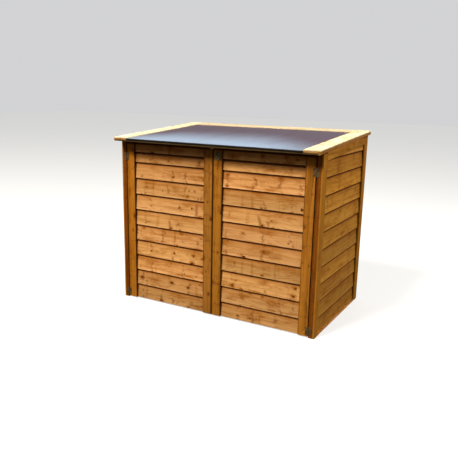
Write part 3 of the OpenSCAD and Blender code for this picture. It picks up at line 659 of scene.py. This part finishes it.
# Front posts and header: the two uprights that the doors hang on, and the rail across them under
# the lid. Both take a dark brown that is partly painted shade, as the posts stand back and the
# header sits under the lid; the edges that the doors shut against take near-black painted shade.
post_wood = timber_material("post_wood", (0.19, 0.054, 0.005), (0.100, 0.024, 0.003), 0.4,
                            spread=0.4)
stile_to_post = 0.005
post_inside = abs(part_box("left_door_hinge_stile")[0].x) + stile_to_post
planed("side_front_posts", post_wood, "cabinet",
       shut=((0, -post_inside), (0, post_inside)))
planed("front_header", post_wood, "cabinet")


# Corner strips and rails: strips nailed over the ends of the side and back boards, a sloping rail
# under each side of the lid, one across the back, and a pale lath along the foot of each side. The
# strips and the back rail are painted darker at their tops, as painted shade under the lid.
pale_strip = timber_material("pale_strip", (0.350, 0.140, 0.010), (0.225, 0.078, 0.004), 0.12,
                             spread=0.3, lapped=True)
foot_lath_wood = timber_material("foot_lath_wood", (0.50, 0.21, 0.050), (0.33, 0.11, 0.018), 0.1)
planed("side_front_strips", pale_strip, "cabinet", arris=0)
planed("side_slope_rails", side_cladding, "cabinet", along=1)
planed("side_back_strips", pale_strip, "cabinet", arris=0)
planed("back_strips", stile_wood, "cabinet", arris=0)
planed("back_top_rail", stile_wood, "cabinet")
planed("side_foot_laths", foot_lath_wood, "cabinet")


# Floor: eight planed boards laid side by side across the cabinet, on three bearers that keep them
# off the ground. They are of the same pale wood as the frames.
planed("floor_boards", inner_wood, "cabinet", arris=0)


# Lid: a frame of rails and bearers under one thin deck, faced with a board along each side. The
# front rail is coloured the darkest, a dim olive brown.
deck_wood = timber_material("deck_wood", (0.52, 0.25, 0.075), (0.36, 0.14, 0.032), 0.0)
rail_wood = timber_material("rail_wood", (0.115, 0.066, 0.022), (0.060, 0.032, 0.010), 0.3)
fascia_wood = timber_material("fascia_wood", (0.37, 0.168, 0.040), (0.25, 0.088, 0.014), 0.1)
for name in ("lid_back_rail", "lid_side_rails", "lid_bearers"):
    planed(name, inner_wood, "lid")
planed("lid_deck", deck_wood, "lid")
planed("lid_front_rail", rail_wood, "lid")
planed("lid_fascias", fascia_wood, "lid", arris=0)


# Trim boards on top of the lid: they hold the sheet down on three sides. Their pale cream is
# partly the bleached colour of old timber and partly a painted highlight of the light on their
# tops.
trim_wood = timber_material("trim_wood", (0.82, 0.70, 0.47), (0.58, 0.38, 0.16), 0.12, spread=0.3)
back_trim_wood = timber_material("back_trim_wood", (0.66, 0.53, 0.33), (0.45, 0.29, 0.12), 0.12,
                                 spread=0.3)
planed("lid_side_trims", trim_wood, "lid", arris=0)
planed("lid_back_trim", back_trim_wood, "lid", arris=0)


# Roofing sheet: one smooth dark membrane, laid on the deck and folded down over the front edge.
# It is painted paler and bluer towards the front: a painted reflection of the sky on the sheet.
eaves = 1.16
trim_middle = 0.70
lid_plane = Matrix.Translation((0, doors_face, eaves)) @ Matrix.Rotation(lid_slope, 4, "X")


def object_noise(tree, place, scale, detail):
    """Noise that is fixed to the piece, with its scale given for each axis."""
    return noise_at(tree, vector_node(tree, "MULTIPLY", place, scale), detail, 0.6)


def sheet_material():
    bare, full_sheen, most_sheen = (0.070, 0.049, 0.068), (0.255, 0.335, 0.455), 0.84
    speck_grey, fold_black = (0.5, 0.5, 0.5), (0.006, 0.004, 0.003)
    material, tree, shader = new_material("roofing_membrane")
    maths, ramp, mix = partial(math_node, tree), partial(span, tree), partial(mix_colour, tree)
    place = node(tree, "ShaderNodeTexCoord").outputs["Object"]
    x, y, _ = axes_of(tree, place)
    front, fold_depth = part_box("lid_roofing_sheet")[0].y, 0.0048
    cloud = object_noise(tree, place, (5, 1.6, 5), 4)
    speck = object_noise(tree, place, (240, 240, 240), 2)

    # How far behind the front a place counts as being, for the painted reflection: further towards
    # both sides
    behind = maths("ADD", y, maths("MULTIPLY", cloud, 0.25))
    behind = maths("ADD", behind, ramp(x, 0.15, 0.85, 0, 0.36))
    behind = maths("ADD", behind, ramp(x, -0.25, -0.75, 0, 0.20))
    painted_sheen = maths("MINIMUM", ramp(behind, front + 0.80, front + 0.06), most_sheen)

    colour = mix(painted_sheen, bare, full_sheen)
    colour = mix(ramp(speck, 0.5, 0.8, 0, 0.25), colour, speck_grey)
    colour = mix(maths("LESS_THAN", y, front + fold_depth), colour, fold_black)
    shader.inputs["Specular IOR Level"].default_value = 0.2
    feed(tree, shader.inputs["Base Color"], colour)
    feed(tree, shader.inputs["Roughness"], ramp(cloud, 0.3, 0.7, 0.42, 0.52))
    raised(tree, shader, speck, strength=0.15, distance=0.0008)
    return material


def laid_sheet():
    """The sheet in the lid's own plane, then tilted with the lid: Y runs up the slope."""
    front, back, top = -0.076 / cos(lid_slope), 0.934 / cos(lid_slope), 0.0205
    sheet_thickness, bend, hem, ripple = 0.0015, 0.0045, 0.012, 0.0007
    half_width, half_fold, back_trim_depth, fade = 0.743, 0.6478, 0.105, 0.08
    rows, half_columns, bend_step = 56, 36, 15
    turn = front - sheet_thickness + bend
    path = [(back - (back - turn) * k / rows, top) for k in range(rows + 1)]
    path += [(turn - bend * sin(radians(a)), top - bend + bend * cos(radians(a)))
             for a in range(bend_step, 90 + 1, bend_step)]
    path += [(turn - bend, top - bend - (hem - bend) * k / 2) for k in (1, 2)]
    stations = ([-half_width, -trim_middle]
                + [half_fold * (k / half_columns - 1) for k in range(2 * half_columns + 1)]
                + [trim_middle, half_width])
    mesh = bmesh.new()
    columns = []
    for x in stations:
        column = []
        for y, z in path[:rows + 1 if abs(x) > half_fold + 0.001 else None]:
            clear = min(1, max(0, (half_fold - abs(x)) / fade),
                        max(0, (back - back_trim_depth - y) / fade))
            broad = noise.noise(Vector((x * 1.7, y * 6, 0)))
            fine = noise.noise(Vector((x * 9, y * 14, 4)))
            lift = max(0, 0.5 + broad + 0.4 * fine)
            column.append(mesh.verts.new((x, y, z + ripple * clear * lift)))
        columns.append(column)
    for left, right in zip(columns, columns[1:]):
        for k in range(min(len(left), len(right)) - 1):
            mesh.faces.new((left[k], left[k + 1], right[k + 1], right[k]))
    mesh.transform(lid_plane)
    data = plain_mesh("laid_sheet", mesh)
    data.shade_smooth()
    data.materials.append(sheet_material())
    sheet = in_scene("laid_sheet", data)
    thickness = sheet.modifiers.new("thickness", "SOLIDIFY")
    thickness.thickness = sheet_thickness
    thickness.offset = -1
    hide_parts("lid_roofing_sheet")
    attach(sheet, "lid")


laid_sheet()


# Ironmongery: butt hinges, hasp, staple, tower bolt and screws, all of pressed steel with a dull
# zinc coat that has gone greenish grey, with brown spots where the weather has got through it. The
# staple's loop, in front of its plate, is painted nearly black, as painted shadow in the loop and
# slot.
def zinc_material(name, bright, dull, rust, shadow_before=None):
    """Weathered zinc. In front of the given place along Y, it is painted nearly black, as painted
    shadow.
    """
    painted_shadow_black = (0.022, 0.016, 0.010)
    material, tree, shader = new_material(name)
    maths, ramp, mix = partial(math_node, tree), partial(span, tree), partial(mix_colour, tree)
    place = node(tree, "ShaderNodeTexCoord").outputs["Object"]
    cloud = object_noise(tree, place, (90, 90, 90), 4)
    spots = object_noise(tree, place, (320, 320, 320), 3)
    stained = ramp(maths("ADD", cloud, maths("MULTIPLY", spots, 0.5)), 0.72, 0.95)
    colour = mix(stained, mix(ramp(cloud, 0.35, 0.65), bright, dull), rust)
    if shadow_before is not None:
        _, y, _ = axes_of(tree, place)
        colour = mix(maths("LESS_THAN", y, shadow_before), colour, painted_shadow_black)
    shader.inputs["Specular IOR Level"].default_value = 0.25
    feed(tree, shader.inputs["Base Color"], colour)
    feed(tree, shader.inputs["Metallic"], ramp(stained, 0, 1, 0.25, 0.0))
    feed(tree, shader.inputs["Roughness"], ramp(cloud, 0.3, 0.7, 0.42, 0.66))
    raised(tree, shader, spots, strength=0.3, distance=0.0003)
    return material


plate_depth = 0.0026
hinge_steel = zinc_material("hinge_steel", (0.15, 0.088, 0.028), (0.085, 0.046, 0.014),
                            (0.045, 0.021, 0.009))
bolt_steel = zinc_material("bolt_steel", (0.24, 0.225, 0.10), (0.13, 0.110, 0.04),
                           (0.07, 0.034, 0.013))
staple_steel = zinc_material("staple_steel", (0.19, 0.175, 0.078), (0.10, 0.085, 0.031),
                             (0.07, 0.034, 0.013), shadow_before=doors_face - plate_depth)
for finish, pieces in (
        (hinge_steel, ("hasp_leaf", "hasp_pin", "hasp_strap", "door_hinge_frame_leaves",
                       "door_hinge_pins", "left_door_hinge_leaves", "right_door_hinge_leaves",
                       "lid_hinge_fixed_leaves", "lid_hinge_lid_leaves", "lid_hinge_pins",
                       "cabinet_screws", "left_door_screws", "right_door_screws", "lid_screws")),
        (bolt_steel, ("bolt_guide", "bolt_rod", "bolt_keep")),
        (staple_steel, ("hasp_staple",))):
    for name in pieces:
        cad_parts[name].data.materials.clear()
        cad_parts[name].data.materials.append(finish)


# Nails: round wire nails with domed heads, driven through the boards into the battens behind them,
# through the strips into the posts, and through the trims into the lid's rails.
def nail_rows_tree():
    """Domed heads in rows along X and columns up Z, a little out of line. -Y is outwards."""
    segments, rings, flattening = 10, 6, 0.45
    tree, size, result = new_group(
        "GeometryNodeTree", "nail_rows",
        [("Float", "Column step", 0.3), ("Int", "Columns", 1), ("Float", "Row step", board_pitch),
         ("Int", "Rows", 10), ("Float", "Head radius", 0.0023), ("Float", "Scatter", 0.003),
         ("Int", "Seed", 1), ("Material", "Metal", None)],
        [("Geometry", "Nails")])
    across = node(tree, "GeometryNodeMeshLine",
                  {"Count": size["Columns"], "Offset": joined(tree, x=size["Column step"])})
    upward = node(tree, "GeometryNodeMeshLine",
                  {"Count": size["Rows"], "Offset": joined(tree, z=size["Row step"])})
    columns = node(tree, "GeometryNodeInstanceOnPoints",
                   {"Points": across.outputs["Mesh"], "Instance": upward.outputs["Mesh"]})
    places = node(tree, "GeometryNodeRealizeInstances",
                  {"Geometry": columns.outputs["Instances"]})
    stray = node(tree, "FunctionNodeRandomValue",
                 {"Min": (-1, 0, -1), "Max": (1, 0, 1), "Seed": size["Seed"]},
                 data_type="FLOAT_VECTOR")
    scattered = vector_node(tree, "MULTIPLY", stray.outputs["Value"], size["Scatter"])
    shifted = node(tree, "GeometryNodeSetPosition",
                   {"Geometry": places.outputs["Geometry"], "Offset": scattered})
    head = node(tree, "GeometryNodeMeshUVSphere",
                {"Segments": segments, "Rings": rings, "Radius": size["Head radius"]})
    domed = node(tree, "GeometryNodeTransform",
                 {"Geometry": head.outputs["Mesh"], "Scale": (1, flattening, 1)})
    nails = node(tree, "GeometryNodeInstanceOnPoints",
                 {"Points": shifted.outputs["Geometry"], "Instance": domed.outputs["Geometry"]})
    real = node(tree, "GeometryNodeRealizeInstances", {"Geometry": nails.outputs["Instances"]})
    finish = node(tree, "GeometryNodeSetMaterial",
                  {"Geometry": real.outputs["Geometry"], "Material": size["Metal"]})
    feed(tree, result["Nails"], finish.outputs["Geometry"])
    return tree


nail_rows = nail_rows_tree()
nail_metal = zinc_material("nail_metal", (0.16, 0.12, 0.08), (0.08, 0.055, 0.035),
                           (0.05, 0.02, 0.01))


def nailed(name, body, groups):
    """One mesh of nails for a body, from groups of nails. Each group says where its first nail is,
    how it is turned to face out, and the counts and steps of its columns and rows."""
    mesh = bmesh.new()
    for seed, (first, turn, counts) in enumerate(groups):
        data = made_by(nail_rows, name, Seed=seed + len(name), Metal=nail_metal, **counts)
        data.transform(Matrix.Translation(first) @ turn)
        mesh.from_mesh(data)
    data = plain_mesh(name, mesh)
    data.shade_smooth()
    data.materials.append(nail_metal)
    nails = in_scene(name, data)
    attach(nails, body)


facing = {side: Matrix.Rotation(radians(turn), 4, "Z")
          for side, turn in (("front", 0), ("right", 90), ("back", 180), ("left", -90))}
above_foot, door_lean, wall_lean = 0.024, 0.0022, 0.0017
pair_step = 0.036
door_column = dict(Columns=1, Rows=8, Row_step=board_pitch)
stile_pairs = dict(Columns=2, Column_step=pair_step, Rows=5, Row_step=0.224)
stile_foot = 0.07
for side in ("left", "right"):
    low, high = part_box(f"{side}_door_boards")
    first = ((low.x + high.x) / 2, low.y + door_lean, board_pitch + above_foot)
    groups = [(first, facing["front"], door_column)]
    for place in ("hinge_stile", "meeting_stile"):
        low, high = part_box(f"{side}_door_{place}")
        first = ((low.x + high.x) / 2 - pair_step / 2, low.y, stile_foot)
        groups.append((first, facing["front"], stile_pairs))
    nailed(f"{side}_door_nails", f"{side}_door", groups)

wall_column = dict(Columns=1, Rows=10, Row_step=board_pitch)
side_pairs = dict(Columns=2, Column_step=pair_step, Rows=6, Row_step=0.2)
back_pairs = dict(Columns=2, Column_step=pair_step, Rows=6, Row_step=0.19)
strip_foot, batten_place, back_strip_middle = 0.06, 0.36, 0.0335
groups = []
for side, sign in (("left", -1), ("right", 1)):
    low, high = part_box(f"{side}_side_boards")
    outside = (low.x + wall_lean) if sign < 0 else (high.x - wall_lean)
    groups.append(((outside, (low.y + high.y) / 2, above_foot), facing[side], wall_column))
    for strips in ("side_front_strips", "side_back_strips"):
        low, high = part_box(strips)
        outside = low.x if sign < 0 else high.x
        first = (outside, (low.y + high.y) / 2 - sign * pair_step / 2, strip_foot)
        groups.append((first, facing[side], side_pairs))
low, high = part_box("back_boards")
for x in (-batten_place, batten_place):
    groups.append(((x, high.y - wall_lean, above_foot), facing["back"], wall_column))
low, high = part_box("back_strips")
for x in (low.x + back_strip_middle, 0, high.x - back_strip_middle):
    groups.append(((x + pair_step / 2, high.y, strip_foot), facing["back"], back_pairs))
nailed("wall_nails", "cabinet", groups)

trim_top, trim_pair, trim_front = 0.0265, 0.06, -0.03
back_trim_first = (-0.58, 0.85)
face_up = lid_plane.to_3x3().to_4x4() @ Matrix.Rotation(radians(-90), 4, "X")
trim_pairs = dict(Columns=2, Column_step=trim_pair, Rows=6, Row_step=0.18)
back_trim_pairs = dict(Columns=9, Column_step=0.145, Rows=2, Row_step=0.055)
groups = [(lid_plane @ Vector((sign * trim_middle - trim_pair / 2, trim_front, trim_top)),
           face_up, trim_pairs) for sign in (-1, 1)]
groups.append((lid_plane @ Vector((*back_trim_first, trim_top)), face_up, back_trim_pairs))
nailed("lid_nails", "lid", groups)
